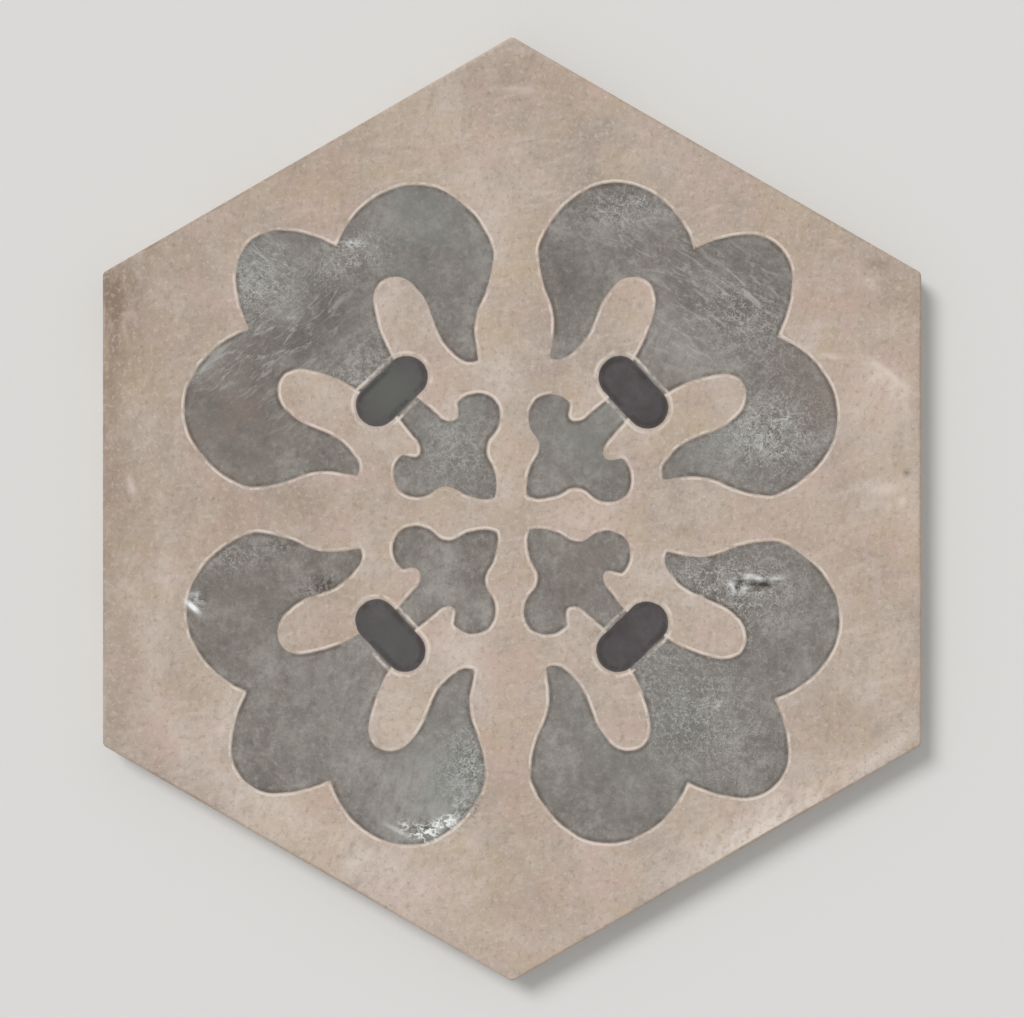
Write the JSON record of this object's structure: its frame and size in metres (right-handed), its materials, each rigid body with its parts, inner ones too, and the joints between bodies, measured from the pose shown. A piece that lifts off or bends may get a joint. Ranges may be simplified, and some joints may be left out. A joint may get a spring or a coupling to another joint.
{
  "type": "hexagon floor tile",
  "caption": "Pressed porcelain hexagon floor tile with eased edges, sides that lean in to the back, and a honeycomb of shallow keying cells underneath.",
  "frame": {"origin": "centre of the back, on the plane of its ribs and border", "axes": "+Z out of the face, +Y from one corner to the opposite one, +X square to two of the flat sides"},
  "size_m": [0.216, 0.249, 0.009],
  "materials": {
    "porcelain": "matte"
  },
  "bodies": {
    "root": {"hexagon_tile": "porcelain"}
  },
  "joints": []
}
